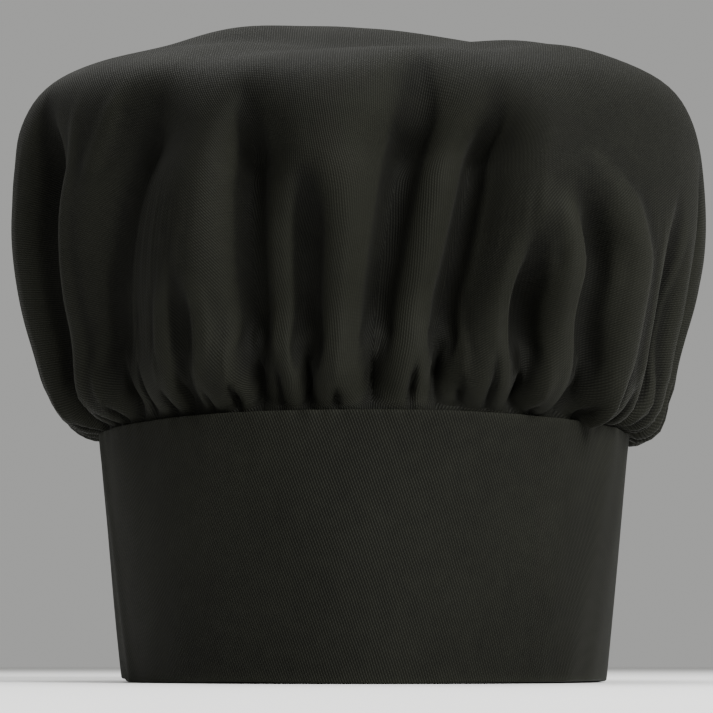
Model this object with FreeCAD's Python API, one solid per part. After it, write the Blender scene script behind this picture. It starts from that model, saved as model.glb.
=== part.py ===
"""A soft chef's toque: a gathered twill crown sewn to a stiffened head band that closes at the back with a
hook-and-loop tab.

Millimetres, +Z up. The origin is the middle of the head opening, on the plane that the hem rests on.
-Y is the front of the hat and +Y is its back. Angles run round the band from the back middle (0 degrees)
through +X (90) and the front (180). The band is one strip, folded double over a stiffener. It goes once round
the head and laps over its own end, so its last stretch is a free tab that peels open about a vertical line.
"""

import math
import os

import FreeCAD
import Part

Vector = FreeCAD.Vector

# Driving sizes of the head band: half widths of its outer face, across (x) and front to back (y)
BAND_HEIGHT = 90.0
HEM_HALF_X, HEM_HALF_Y = 89.0, 96.0
TOP_HALF_X, TOP_HALF_Y = 99.5, 94.0

# Cloth, stiffener and tape thicknesses
CLOTH = 0.4
STIFFENER = 0.8
SLIP = 0.05
BAND_THICK = 2 * CLOTH + STIFFENER + 2 * SLIP
CROWN_THICK = 1.5
TAPE = 0.4
PILE = 0.9
THREAD = 0.3
CLEARANCE = 0.3

# The lap at the back, as angles round the band
HINGE_ANGLE = 22.0
TAB_END_ANGLE = -22.0
UNDERLAP_END_ANGLE = 17.0
RAMP_ANGLE = 34.0
LAP_LIFT = BAND_THICK + 2 * PILE + CLEARANCE
TAB_HEM_LIFT = 1.0

# Hook and loop strips
STRIP_HEIGHT = 25.0
STRIP_LOW = 0.5 * (BAND_HEIGHT - STRIP_HEIGHT)
LOOP_START, LOOP_END = -44.0, 12.0
HOOK_START, HOOK_END = -19.0, 10.0

# Seam inside the top of the band: crown allowance, gathering threads and binding tape, as offsets from the
# band's outer face
ALLOWANCE = 9.0
BINDING_HEIGHT = 7.0
BINDING_OUT = -BAND_THICK - 0.1
NECK_OUT = BINDING_OUT - TAPE - 0.1
NECK_IN = NECK_OUT - CROWN_THICK
BINDING_IN = NECK_IN - THREAD - 0.1
BINDING_LOW = BAND_HEIGHT - ALLOWANCE - TAPE - 0.1

# Crown: half width of the puffed bag and heights of its outline
CROWN_HALF_X = 132.0
CROWN_TOP = 247.0
SHOULDER_HEIGHT = 212.0
WIDEST_HEIGHT = 164.0
NECK_TURN = 2.0

# Care label: its head is sewn on the binding's inner leg, and the rest hangs from the binding's lower edge
LABEL_ANGLE = -40.0
LABEL_WIDTH, LABEL_DROP, LABEL_THICK = 20.0, 34.0, 0.6
LABEL_HEAD = 5.0
LABEL_OUT = BINDING_IN - TAPE - SLIP
LABEL_GAP = 2 * CLEARANCE

# Stitches
STITCH_LONG, STITCH_WIDE, STITCH_HIGH = 2.4, 0.4, 0.25
STITCH_PITCH = 3.6
STITCH_INSET = 2.0
TACK_LONG, TACK_WIDE = 7.0, 1.6


def smooth(share):
    """0 to 1 with no slope at either end."""
    share = min(1.0, max(0.0, share))
    return share * share * (3 - 2 * share)


def half_widths(z):
    """Half widths of the band's outer face at a height."""
    share = z / BAND_HEIGHT
    return (
        HEM_HALF_X + (TOP_HALF_X - HEM_HALF_X) * share,
        HEM_HALF_Y + (TOP_HALF_Y - HEM_HALF_Y) * share,
    )


def lap_lift(angle):
    """How far the strip stands off the plain oval: it climbs over its own end just before the hinge line."""
    return LAP_LIFT * smooth((HINGE_ANGLE + RAMP_ANGLE - angle) / RAMP_ANGLE)


def wall_point(angle, z, offset):
    """A point at an angle and height, offset outwards from the plain oval."""
    half_x, half_y = half_widths(z)
    turn = math.radians(angle)
    return Vector((half_x + offset) * math.sin(turn), (half_y + offset) * math.cos(turn), z)


def curve_through(points):
    curve = Part.BSplineCurve()
    curve.interpolate(points)
    return curve.toShape()


def section(start, end, inner, outer, z, lift):
    """The closed outline of a strip's cut at height z, between two angles and two offsets."""
    steps = max(6, int(abs(end - start) / 6))
    angles = [start + (end - start) * i / steps for i in range(steps + 1)]
    outside = [wall_point(a, z, outer + lift(a)) for a in angles]
    inside = [wall_point(a, z, inner + lift(a)) for a in angles]
    return Part.Wire(
        [
            curve_through(outside),
            Part.LineSegment(outside[-1], inside[-1]).toShape(),
            curve_through(inside[::-1]),
            Part.LineSegment(inside[0], outside[0]).toShape(),
        ]
    )


def strip(start, end, inner, outer, low, high, lift=lambda angle: 0.0):
    """A curved strip of band: from one angle to another, between two offsets and two heights."""
    wires = [section(start, end, inner, outer, z, lift) for z in (low, high)]
    return Part.makeLoft(wires, True, True)


def oval(z, offset):
    """A closed oval round the hat at a height."""
    count = 36
    curve = Part.BSplineCurve()
    curve.interpolate([wall_point(360.0 * i / count, z, offset) for i in range(count)], PeriodicFlag=True)
    return Part.Wire(curve.toShape())


def squeezed_oval(z, offset):
    """The same oval as a circle that has been squeezed, to meet a squeezed solid of revolution exactly."""
    half_x, half_y = half_widths(z)
    squeeze = FreeCAD.Matrix()
    squeeze.scale(half_x + offset, half_y + offset, 1.0)
    circle = Part.Wire(Part.Circle(Vector(0, 0, z), Vector(0, 0, 1), 1.0).toShape())
    return Part.Wire(circle.transformGeometry(squeeze).Edges)


def ring(inner, outer, low, high, outline=oval):
    """A full ring of the band's oval between two offsets and two heights."""
    outside = Part.makeLoft([outline(low, outer), outline(high, outer)], True, True)
    margin = 1.0
    inside = Part.makeLoft([outline(low - margin, inner), outline(high + margin, inner)], True, True)
    return outside.cut(inside)


def band_degrees(length):
    """The angle that a length along the band takes up."""
    return math.degrees(length / HEM_HALF_Y)


def folded_strip(start, end, low, lift):
    """A strip of cloth folded double at its lower edge and closed at both ends. The pocket for the stiffener is
    open on top."""
    body = strip(start, end, -BAND_THICK, 0.0, low, BAND_HEIGHT, lift)
    wall = band_degrees(CLOTH)
    pocket = strip(start + wall, end - wall, -BAND_THICK + CLOTH, -CLOTH, low + CLOTH, BAND_HEIGHT + 1.0, lift)
    return body.cut(pocket)


def stiffener_strip(start, end, low, lift):
    """The stiffener that fills a folded strip's pocket, with a little slip all round."""
    margin = band_degrees(CLOTH + 2 * SLIP)
    inner = -BAND_THICK + CLOTH + SLIP
    outer = -CLOTH - SLIP
    bottom = low + CLOTH + SLIP
    return strip(start + margin, end - margin, inner, outer, bottom, BAND_HEIGHT - SLIP, lift)


def band_cover():
    return folded_strip(HINGE_ANGLE, 360 + UNDERLAP_END_ANGLE, 0.0, lap_lift)


def band_stiffener():
    return stiffener_strip(HINGE_ANGLE, 360 + UNDERLAP_END_ANGLE, 0.0, lap_lift)


def tab_lift(angle):
    return LAP_LIFT


def tab_start_angle():
    """The tab begins a clearance away from the hinge line."""
    return HINGE_ANGLE - band_degrees(CLEARANCE)


def tab_cover():
    return folded_strip(TAB_END_ANGLE, tab_start_angle(), TAB_HEM_LIFT, tab_lift)


def tab_stiffener():
    return stiffener_strip(TAB_END_ANGLE, tab_start_angle(), TAB_HEM_LIFT, tab_lift)


def loop_strip():
    return strip(LOOP_START, LOOP_END, SLIP, PILE, STRIP_LOW, STRIP_LOW + STRIP_HEIGHT)


def hook_strip():
    outer = LAP_LIFT - BAND_THICK - SLIP
    return strip(HOOK_START, HOOK_END, outer - PILE + SLIP, outer, STRIP_LOW, STRIP_LOW + STRIP_HEIGHT)


def seam_binding():
    """Tape folded round the raw gathered edge: an outer leg, an inner leg and the fold below them."""
    high = BINDING_LOW + BINDING_HEIGHT
    body = ring(BINDING_IN - TAPE, BINDING_OUT, BINDING_LOW, high)
    groove = ring(BINDING_IN, BINDING_OUT - TAPE, BINDING_LOW + TAPE, high + 1.0)
    return body.cut(groove)


def gathering_threads():
    """Two rows of thread that draw the crown's edge in."""
    rows = [BAND_HEIGHT - 4.0, BAND_HEIGHT - 6.5]
    outer = NECK_IN - SLIP
    return Part.makeCompound([ring(outer - THREAD, outer, z, z + THREAD) for z in rows])


def crown_seam_thread():
    """The lockstitch line that joins crown and band, drawn as one continuous thread in the turned seam."""
    inner = NECK_OUT + 0.1
    low = BAND_HEIGHT - 1.4
    return ring(inner, inner + THREAD, low, low + THREAD)


def crown_outline():
    """The outer line of the crown's half section, from where it leaves the seam to its top, as radius, 0 and
    height. It swells out over the band, turns in at the shoulder and domes over."""
    seam_x = TOP_HALF_X + NECK_OUT + NECK_TURN
    return [
        Vector(seam_x, 0, BAND_HEIGHT + 2 * NECK_TURN),
        Vector(0.86 * CROWN_HALF_X, 0, BAND_HEIGHT + 12.0),
        Vector(0.96 * CROWN_HALF_X, 0, BAND_HEIGHT + 37.0),
        Vector(CROWN_HALF_X, 0, WIDEST_HEIGHT),
        Vector(0.975 * CROWN_HALF_X, 0, SHOULDER_HEIGHT - 14.0),
        Vector(0.86 * CROWN_HALF_X, 0, SHOULDER_HEIGHT + 10.0),
        Vector(0.52 * CROWN_HALF_X, 0, CROWN_TOP - 7.0),
        Vector(0.2 * CROWN_HALF_X, 0, CROWN_TOP - 1.0),
        Vector(0, 0, CROWN_TOP),
    ]


def inward(curve, at, distance):
    """The point a distance to the inner side of the curve."""
    tangent = curve.tangent(at)[0]
    normal = Vector(-tangent.z, 0, tangent.x)
    return curve.value(at) + normal * distance


def filled_bag(neck_x, neck_y, turn_radius, curve):
    """The space under a curve of the bag's half section, as a solid of revolution that stands on the seam's plane
    and is squeezed to an oval. neck_x and neck_y are the half widths of the oval where it meets the band."""
    foot = Vector(neck_x, 0, BAND_HEIGHT)
    turn_centre = Vector(TOP_HALF_X + NECK_OUT + NECK_TURN, 0, BAND_HEIGHT + NECK_TURN)
    turn_start = Vector(neck_x, 0, turn_centre.z)
    turn_middle = turn_centre + Vector(-1, 0, 1).normalize() * turn_radius
    turn_end = curve.value(curve.FirstParameter)
    top = curve.value(curve.LastParameter)
    axis_foot = Vector(0, 0, BAND_HEIGHT)
    outline = Part.Wire(
        [
            Part.LineSegment(foot, turn_start).toShape(),
            Part.Arc(turn_start, turn_middle, turn_end).toShape(),
            curve.toShape(),
            Part.LineSegment(top, axis_foot).toShape(),
            Part.LineSegment(axis_foot, foot).toShape(),
        ]
    )
    solid = Part.Face(outline).revolve(Vector(0, 0, 0), Vector(0, 0, 1), 360)
    squeeze = FreeCAD.Matrix()
    squeeze.scale(1.0, neck_y / neck_x, 1.0)
    return solid.transformGeometry(squeeze)


def crown():
    """The gathered bag, open where the head goes in, with its seam allowance inside the top of the band."""
    outer = Part.BSplineCurve()
    outer.interpolate(crown_outline())
    first, last = outer.FirstParameter, outer.LastParameter
    spans = 24
    inside = [inward(outer, first + (last - first) * i / spans, CROWN_THICK) for i in range(spans)]
    inside.append(Vector(0, 0, CROWN_TOP - CROWN_THICK))
    inner = Part.BSplineCurve()
    inner.interpolate(inside)
    outside = filled_bag(TOP_HALF_X + NECK_OUT, TOP_HALF_Y + NECK_OUT, NECK_TURN, outer)
    hollow = filled_bag(TOP_HALF_X + NECK_IN, TOP_HALF_Y + NECK_IN, NECK_TURN + CROWN_THICK, inner)
    allowance = ring(NECK_IN, NECK_OUT, BAND_HEIGHT - ALLOWANCE, BAND_HEIGHT, squeezed_oval)
    return outside.cut(hollow).fuse(allowance).removeSplitter()


def block(centre, along, outward, long, wide, high):
    """A small box: long along one direction, high along another, and wide across both."""
    along = Vector(along).normalize()
    across = outward.cross(along).normalize()
    outward = along.cross(across)
    box = Part.makeBox(long, wide, high, Vector(-long / 2, -wide / 2, 0))
    place = FreeCAD.Matrix(
        along.x, across.x, outward.x, centre.x,
        along.y, across.y, outward.y, centre.y,
        along.z, across.z, outward.z, centre.z,
        0, 0, 0, 1,
    )  # fmt: skip
    box.transformShape(place)
    return box


def outward_at(angle, z):
    half_x, half_y = half_widths(z)
    turn = math.radians(angle)
    return Vector(math.sin(turn) / half_x, math.cos(turn) / half_y, 0).normalize()


def stitch_row(start, end, z, offset, facing=1):
    """Stitches along the band at a height. facing is 1 for the outer side of a layer and -1 for its inner side."""
    length = math.radians(abs(end - start)) * HEM_HALF_Y
    count = max(1, int(length / STITCH_PITCH))
    angles = [start + (end - start) * (i + 0.5) / count for i in range(count)]
    stitches = []
    for angle in angles:
        outward = outward_at(angle, z)
        along = Vector(0, 0, 1).cross(outward)
        seat = wall_point(angle, z, offset)
        stitches.append(block(seat, along, outward * facing, STITCH_LONG, STITCH_WIDE, STITCH_HIGH))
    return stitches


def stitch_column(angle, low, high, offset):
    """Stitches up the band at one angle."""
    count = max(1, int((high - low) / STITCH_PITCH))
    heights = [low + (high - low) * (i + 0.5) / count for i in range(count)]
    outward = outward_at(angle, low)
    return [
        block(wall_point(angle, z, offset), Vector(0, 0, 1), outward, STITCH_LONG, STITCH_WIDE, STITCH_HIGH)
        for z in heights
    ]


def stitch_box(start, end, offset):
    """A rectangle of stitches that holds a hook or loop strip along its four edges."""
    low = STRIP_LOW + STITCH_INSET
    high = STRIP_LOW + STRIP_HEIGHT - STITCH_INSET
    inset = band_degrees(STITCH_INSET)
    rows = [stitch_row(start + 2 * inset, end - 2 * inset, z, offset) for z in (low, high)]
    columns = [stitch_column(a, low + 1.0, high - 1.0, offset) for a in (start + inset, end - inset)]
    return Part.makeCompound(sum(rows + columns, []))


def loop_strip_stitches():
    return stitch_box(LOOP_START, TAB_END_ANGLE - 1.0, PILE + SLIP)


def hook_strip_stitches():
    return stitch_box(HOOK_START, HOOK_END, LAP_LIFT + SLIP)


def binding_stitches():
    """The row that holds the binding, seen all round the inside of the hat. It runs above the label's head."""
    height = BINDING_LOW + LABEL_HEAD + 2 * SLIP + STITCH_WIDE
    return Part.makeCompound(stitch_row(0.0, 360.0, height, BINDING_IN - TAPE - SLIP, -1))


def tab_root_tacks():
    """Two bar tacks across the strip just before the hinge line."""
    angle = HINGE_ANGLE + band_degrees(TACK_WIDE)
    tacks = []
    for z in (0.12 * BAND_HEIGHT, 0.92 * BAND_HEIGHT):
        seat = wall_point(angle, z, LAP_LIFT + 0.15)
        tacks.append(block(seat, Vector(0, 0, 1), outward_at(angle, z), TACK_LONG, TACK_WIDE, 0.5))
    return Part.makeCompound(tacks)


def label_frame():
    """The middle of the hanging label's top edge, its direction along the band and its outward direction."""
    top = BINDING_LOW - LABEL_GAP
    outward = outward_at(LABEL_ANGLE, top)
    middle = LABEL_OUT - LABEL_THICK / 2
    return wall_point(LABEL_ANGLE, top, middle), Vector(0, 0, 1).cross(outward), outward


def care_label():
    """The part of the folded satin label that hangs below the seam binding."""
    top, along, outward = label_frame()
    seat = top - Vector(0, 0, LABEL_DROP / 2) - outward * (LABEL_THICK / 2)
    return block(seat, along, outward, LABEL_WIDTH, LABEL_DROP, LABEL_THICK)


def label_head():
    """The head of the label, flat on the binding's inner leg."""
    half = band_degrees(LABEL_WIDTH / 2)
    low = BINDING_LOW + SLIP
    return strip(
        LABEL_ANGLE - half, LABEL_ANGLE + half, LABEL_OUT - LABEL_THICK, LABEL_OUT, low, low + LABEL_HEAD
    )


def label_stitches():
    """A row of stitches through the label's head."""
    half = band_degrees(0.42 * LABEL_WIDTH)
    height = BINDING_LOW + 0.3 * LABEL_HEAD
    row = stitch_row(LABEL_ANGLE - half, LABEL_ANGLE + half, height, LABEL_OUT - LABEL_THICK - SLIP, -1)
    return Part.makeCompound(row)


PARTS = {
    "crown": crown,
    "band_cover": band_cover,
    "band_stiffener": band_stiffener,
    "seam_binding": seam_binding,
    "gathering_threads": gathering_threads,
    "crown_seam_thread": crown_seam_thread,
    "binding_stitches": binding_stitches,
    "loop_strip": loop_strip,
    "loop_strip_stitches": loop_strip_stitches,
    "tab_root_tacks": tab_root_tacks,
    "label_head": label_head,
    "label_stitches": label_stitches,
    "tab_cover": tab_cover,
    "tab_stiffener": tab_stiffener,
    "hook_strip": hook_strip,
    "hook_strip_stitches": hook_strip_stitches,
    "care_label": care_label,
}


def main():
    os.makedirs("parts", exist_ok=True)
    for name, make in PARTS.items():
        shape = make()
        shape.exportStep(f"parts/{name}.step")
        box = shape.BoundBox
        print(
            f"{name}: {len(shape.Solids)} solids, valid {shape.isValid()}, volume {shape.Volume:.0f} mm3, "
            f"x {box.XMin:.1f}..{box.XMax:.1f}, y {box.YMin:.1f}..{box.YMax:.1f}, z {box.ZMin:.1f}..{box.ZMax:.1f}"
        )
    top, along, outward = label_frame()
    low, high = (wall_point(HINGE_ANGLE, z, LAP_LIFT) for z in (0.0, BAND_HEIGHT))
    print("tab hinge point", low, "direction down", (low - high).normalize())
    print("label hinge point", top, "along", along)


main()
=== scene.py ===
"""The looks of a black chef's toque: its gathered crown, its folded head band with the hook-and-loop tab, and
the seam inside.

Metres, in the CAD model's frame: the origin is the middle of the head opening, on the plane that the hem
rests on. +Z is up and -Y is the front. Angles are in degrees from the front middle, positive towards +X, so
the back middle is 180.
"""

import math

import bpy
import numpy as np
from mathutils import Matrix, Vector


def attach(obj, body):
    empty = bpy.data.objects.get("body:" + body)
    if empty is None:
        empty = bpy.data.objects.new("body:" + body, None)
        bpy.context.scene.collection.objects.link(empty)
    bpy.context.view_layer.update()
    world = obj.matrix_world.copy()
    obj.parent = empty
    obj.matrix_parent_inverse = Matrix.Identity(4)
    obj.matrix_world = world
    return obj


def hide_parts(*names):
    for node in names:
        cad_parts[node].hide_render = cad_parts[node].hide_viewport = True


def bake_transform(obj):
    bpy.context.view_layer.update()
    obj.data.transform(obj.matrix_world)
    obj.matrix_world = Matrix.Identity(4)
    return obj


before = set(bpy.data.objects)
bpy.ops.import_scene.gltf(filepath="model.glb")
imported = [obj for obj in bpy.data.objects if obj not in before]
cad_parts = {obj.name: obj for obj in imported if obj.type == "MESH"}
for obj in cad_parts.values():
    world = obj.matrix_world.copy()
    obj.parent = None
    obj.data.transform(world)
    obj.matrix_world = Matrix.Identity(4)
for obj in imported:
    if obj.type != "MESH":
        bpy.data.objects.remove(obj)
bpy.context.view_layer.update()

MM = 0.001

# Head band, as in the CAD: half widths of its outer face at the hem and at the top
BAND_HEIGHT = 90 * MM
HEM_HALF = (89 * MM, 96 * MM)
TOP_HALF = (99.5 * MM, 94 * MM)
BAND_THICK = 1.7 * MM
SLIP = 0.05 * MM

# The strip starts at the tab's free end, goes over the hinge line and once round to the end that it laps over
TAB_END = 202.0
HINGE = 158.0
RAMP = 34.0
UNDERLAP_END = -197.0
PIECE_SPLIT = 120.0
BEND_END = 168.0
LAP_LIFT = 3.8 * MM
TAB_HEM_LIFT = 1 * MM

# Hook and loop strips on the lap
STRIP_LOW, STRIP_HIGH = 32.5 * MM, 57.5 * MM
LOOP_FROM, LOOP_TO = 168.0, 224.0
HOOK_FROM, HOOK_TO = 170.0, 199.0
PILE = 0.9 * MM
TAPE_BASE = 0.32 * MM

# Inside the top of the band, as offsets from its outer face: crown allowance, binding and label
NECK_OUT = -2.3 * MM
ALLOWANCE = 9 * MM
BINDING_OUT, BINDING_IN = -1.8 * MM, -4.2 * MM
TAPE = 0.4 * MM
BINDING_LOW = 80.5 * MM
BINDING_HEIGHT = 7 * MM
LABEL_ANGLE = 220.0
LABEL_WIDTH, LABEL_DROP, LABEL_THICK = 20 * MM, 34 * MM, 0.6 * MM
LABEL_HEAD = 5 * MM
LABEL_OUT = BINDING_IN - TAPE - SLIP
LABEL_TOP = 79.9 * MM

# Stitches
STITCH_LONG, STITCH_WIDE, STITCH_HIGH = 2.4 * MM, 0.4 * MM, 0.25 * MM
STITCH_PITCH = 3.6 * MM
STITCH_INSET = 2 * MM

# Crown: the ring where it leaves the seam, and the half widths of the puffed bag
NECK = (TOP_HALF[0] + NECK_OUT, TOP_HALF[1] + NECK_OUT)
BAG_LEFT, BAG_RIGHT = 134.5 * MM, 129.5 * MM
BAG_FRONT, BAG_BACK = 123 * MM, 124 * MM


def smooth(low, high, value):
    """0 below low, 1 above high, and a soft step between."""
    share = np.clip((value - low) / (high - low), 0, 1)
    return share * share * (3 - 2 * share)


def bell(value, half):
    """1 where value is 0, falling away softly on both sides over the half width."""
    return np.exp(-((value / half) ** 2))


def near_turn(angle):
    """The same angle between -180 and 180 degrees."""
    return (angle + 180) % 360 - 180


def unit(vectors):
    return vectors / (np.linalg.norm(vectors, axis=-1, keepdims=True) + 1e-12)


def running_length(x, y):
    """How far each point of a line is from its start, along the line."""
    return np.concatenate([[0], np.cumsum(np.hypot(np.diff(x), np.diff(y)))])


def place_in_scene(name, data):
    """A new object in the scene, from its mesh, camera or light."""
    thing = bpy.data.objects.new(name, data)
    bpy.context.scene.collection.objects.link(thing)
    return thing


def mesh_piece(name, points, faces):
    """A new smooth-shaded mesh object from points and faces."""
    mesh = bpy.data.meshes.new(name)
    mesh.from_pydata([tuple(p) for p in points], [], [tuple(f) for f in faces])
    mesh.validate()
    mesh.polygons.foreach_set("use_smooth", [True] * len(mesh.polygons))
    return place_in_scene(name, mesh)


def grid_faces(rows, columns, closed):
    """Quads of a grid of points stored row by row. closed joins the last column to the first."""
    wide = columns if closed else columns - 1
    low = np.arange(rows - 1)[:, None] * columns
    here = low + np.arange(wide)[None, :]
    beside = low + (np.arange(wide)[None, :] + 1) % columns
    return np.stack([here, beside, beside + columns, here + columns], axis=-1).reshape(-1, 4)


def set_attribute(piece, name, values, domain="POINT"):
    """Stores one number or one vector for each point or face corner, for the materials to read."""
    kind = "FLOAT_VECTOR" if values.ndim == 2 else "FLOAT"
    attribute = piece.data.attributes.new(name, kind, domain)
    field = "vector" if values.ndim == 2 else "value"
    attribute.data.foreach_set(field, values.astype(np.float32).ravel())


def set_flat(piece, x, y):
    """Stores each point's place on the flat cut, in metres. x and y are broadcast to the grid of points."""
    x, y = np.broadcast_arrays(x, y)
    set_attribute(piece, "flat", np.stack([x, y, np.zeros(x.shape)], axis=-1).reshape(-1, 3))


# ---------------------------------------------------------------- materials


class Finish:
    """A material's node tree, with short ways to add to it. Inputs are numbers or sockets."""

    def __init__(self, name, roughness, specular=0.2, sheen=0.0):
        self.material = bpy.data.materials.new(name)
        self.material.use_nodes = True
        self.nodes = self.material.node_tree.nodes
        self.links = self.material.node_tree.links
        self.shader = self.nodes["Principled BSDF"]
        self.shader.inputs["Roughness"].default_value = roughness
        self.shader.inputs["Specular IOR Level"].default_value = specular
        self.shader.inputs["Sheen Weight"].default_value = sheen
        self.shader.inputs["Sheen Roughness"].default_value = 0.4
        self.shader.inputs["Sheen Tint"].default_value = (0.9, 0.9, 0.82, 1)

    def math(self, operation, first, second=0.0):
        node = self.nodes.new("ShaderNodeMath")
        node.operation = operation
        for socket, value in zip(node.inputs, (first, second)):
            if isinstance(value, (int, float)):
                socket.default_value = value
            else:
                self.links.new(value, socket)
        return node.outputs[0]

    def add(self, *values):
        total = values[0]
        for value in values[1:]:
            total = self.math("ADD", total, value)
        return total

    def times(self, first, second):
        return self.math("MULTIPLY", first, second)

    def wave(self, distance, length):
        return self.math("SINE", self.times(distance, 2 * math.pi / length))

    def attribute(self, name):
        node = self.nodes.new("ShaderNodeAttribute")
        node.attribute_name = name
        return node

    def flat(self):
        """The place on the flat cut, in metres, as a vector and as its two numbers."""
        vector = self.attribute("flat").outputs["Vector"]
        parts = self.nodes.new("ShaderNodeSeparateXYZ")
        self.links.new(vector, parts.inputs[0])
        return vector, parts.outputs["X"], parts.outputs["Y"]

    def noise(self, vector, size, detail=3.0, roughness=0.5):
        """Soft noise with patches of about the size given, in metres."""
        node = self.nodes.new("ShaderNodeTexNoise")
        node.inputs["Scale"].default_value = 0.5 / size
        node.inputs["Detail"].default_value = detail
        node.inputs["Roughness"].default_value = roughness
        self.links.new(vector, node.inputs["Vector"])
        return node.outputs["Fac"]

    def colour(self, tone, dark, light, low=0.0, high=1.0):
        ramp = self.nodes.new("ShaderNodeValToRGB")
        for element, place, value in zip(ramp.color_ramp.elements, (low, high), (dark, light)):
            element.position = place
            element.color = (*value, 1)
        self.links.new(tone, ramp.inputs["Fac"])
        self.links.new(ramp.outputs["Color"], self.shader.inputs["Base Color"])

    def bump(self, height, depth, strength=0.6):
        node = self.nodes.new("ShaderNodeBump")
        node.inputs["Strength"].default_value = strength
        node.inputs["Distance"].default_value = depth
        self.links.new(height, node.inputs["Height"])
        self.links.new(node.outputs["Normal"], self.shader.inputs["Normal"])

    def gloss(self, tone, low, high):
        """Roughness between two values, driven by a tone from 0 to 1."""
        node = self.nodes.new("ShaderNodeMapRange")
        node.inputs["To Min"].default_value = low
        node.inputs["To Max"].default_value = high
        self.links.new(tone, node.inputs["Value"])
        self.links.new(node.outputs["Result"], self.shader.inputs["Roughness"])

    def surface(self, pattern, patches, dark, light, span, gloss, depth, shares=(0.6, 0.5)):
        """Colour from a pattern over patches of dye, in two shares, and the pattern's gloss and bump."""
        tone = self.add(self.times(pattern, shares[0]), self.times(patches, shares[1]))
        self.colour(tone, dark, light, *span)
        self.gloss(pattern, *gloss)
        self.bump(pattern, depth)
        return self.material


def twill(name, dark, light, lean, pitch=0.88 * MM):
    """Twill cloth: ribs a pitch apart that lean from the weft, each a row of short floats, over a slow drift
    in the dye and a little lint. Worn ridges and edges are paler, the crown's valleys are darker with painted
    shade, and the band's upright crease is paler with a painted highlight."""
    cloth = Finish(name, 0.75, 0.1, 0.02)
    place, x, y = cloth.flat()
    turn = math.radians(lean)
    wobble = cloth.times(cloth.noise(place, 6 * MM, 2), 0.8)
    leaning, level = math.sin(turn) / pitch, math.cos(turn) / pitch
    across = cloth.add(cloth.times(x, leaning), cloth.times(y, -level), wobble)
    along = cloth.add(cloth.times(x, level), cloth.times(y, leaning))
    rib = cloth.add(cloth.times(cloth.wave(across, 1.0), 0.5), 0.5)
    stagger = cloth.times(cloth.math("FLOOR", across), 0.37)
    dash = cloth.add(cloth.times(cloth.wave(cloth.add(along, stagger), 1.45), 0.22), 0.78)
    weave = cloth.times(rib, dash)
    drift = cloth.noise(place, 30 * MM, 4, 0.6)
    slub = cloth.noise(place, 2.5 * MM, 3)
    lint = cloth.noise(place, 0.5 * MM, 2)
    # paler on worn ridges and edges, darker in the crown's valleys as painted shade, and paler down the
    # band's crease as a painted highlight
    wear_and_painted_light = cloth.attribute("wear_and_painted_light").outputs["Fac"]
    tone = cloth.add(
        cloth.times(weave, 0.46), cloth.times(drift, 0.36), cloth.times(slub, 0.22), cloth.times(lint, 0.12),
        cloth.times(wear_and_painted_light, 0.3),
    )  # fmt: skip
    cloth.colour(tone, dark, light, 0.22, 1.0)
    cloth.gloss(cloth.add(cloth.times(weave, 0.6), cloth.times(drift, 0.4)), 0.88, 0.56)
    cloth.bump(cloth.add(weave, cloth.times(lint, 0.25)), 0.2 * MM, 0.8)
    return cloth.material


def plain_weave(name, dark, light, yarn=0.45 * MM):
    """A tape of plain weave: yarns that cross over and under."""
    tape = Finish(name, 0.7, 0.2, 0.05)
    place, x, y = tape.flat()
    over = tape.times(tape.wave(x, 2 * yarn), tape.wave(y, 2 * yarn))
    weave = tape.add(tape.times(over, 0.4), 0.5)
    return tape.surface(weave, tape.noise(place, 8 * MM), dark, light, (0.15, 0.95), (0.8, 0.6), 0.12 * MM)


def herringbone(name, dark, light, pitch=0.7 * MM, column=3.2 * MM):
    """Cotton tape woven in a zigzag: ribs that lean one way and then the other in columns."""
    tape = Finish(name, 0.8, 0.2, 0.06)
    place, x, y = tape.flat()
    zigzag = tape.math("PINGPONG", x, column)
    rib = tape.wave(tape.add(zigzag, y), pitch)
    yarn = tape.wave(tape.add(x, tape.times(y, 0.15)), 0.4 * MM)
    weave = tape.add(tape.times(rib, 0.32), tape.times(yarn, 0.12), 0.5)
    return tape.surface(weave, tape.noise(place, 12 * MM), dark, light, (0.2, 0.95), (0.9, 0.7), 0.16 * MM)


def twisted_thread(name, dark, light, twist=0.42 * MM, sheen=0.1, roughness=0.55):
    """Sewing thread: plies that wind round it."""
    thread = Finish(name, roughness, 0.3, sheen)
    place, x, y = thread.flat()
    ply = thread.add(thread.times(thread.wave(thread.add(x, y), twist), 0.4), 0.5)
    gloss = (roughness + 0.15, roughness - 0.1)
    return thread.surface(ply, thread.noise(place, 1.5 * MM), dark, light, (0.15, 0.95), gloss, 0.06 * MM)


def solid_thread(name, dark, light):
    """The same thread on pieces that keep their CAD shape, with fibres and patches laid by the object's own
    axes.
    """
    thread = Finish(name, 0.6, 0.3, 0.1)
    place = thread.nodes.new("ShaderNodeTexCoord").outputs["Object"]
    fibres = thread.noise(place, 0.3 * MM, 4, 0.7)
    patches = thread.noise(place, 4 * MM)
    return thread.surface(fibres, patches, dark, light, (0.2, 0.9), (0.75, 0.5), 0.06 * MM, (0.7, 0.4))


def nonwoven(name, dark, light):
    """Interfacing: matted fibres with a grid of pressed dots."""
    felt = Finish(name, 0.85, 0.2)
    place, x, y = felt.flat()
    fibres = felt.noise(place, 0.8 * MM, 6, 0.75)
    dots = felt.math("GREATER_THAN", felt.times(felt.wave(x, 3 * MM), felt.wave(y, 3 * MM)), 0.72)
    height = felt.add(fibres, felt.times(dots, -0.4))
    felt.colour(height, dark, light, 0.1, 0.8)
    felt.gloss(fibres, 0.95, 0.75)
    felt.bump(height, 0.15 * MM)
    return felt.material


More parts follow.
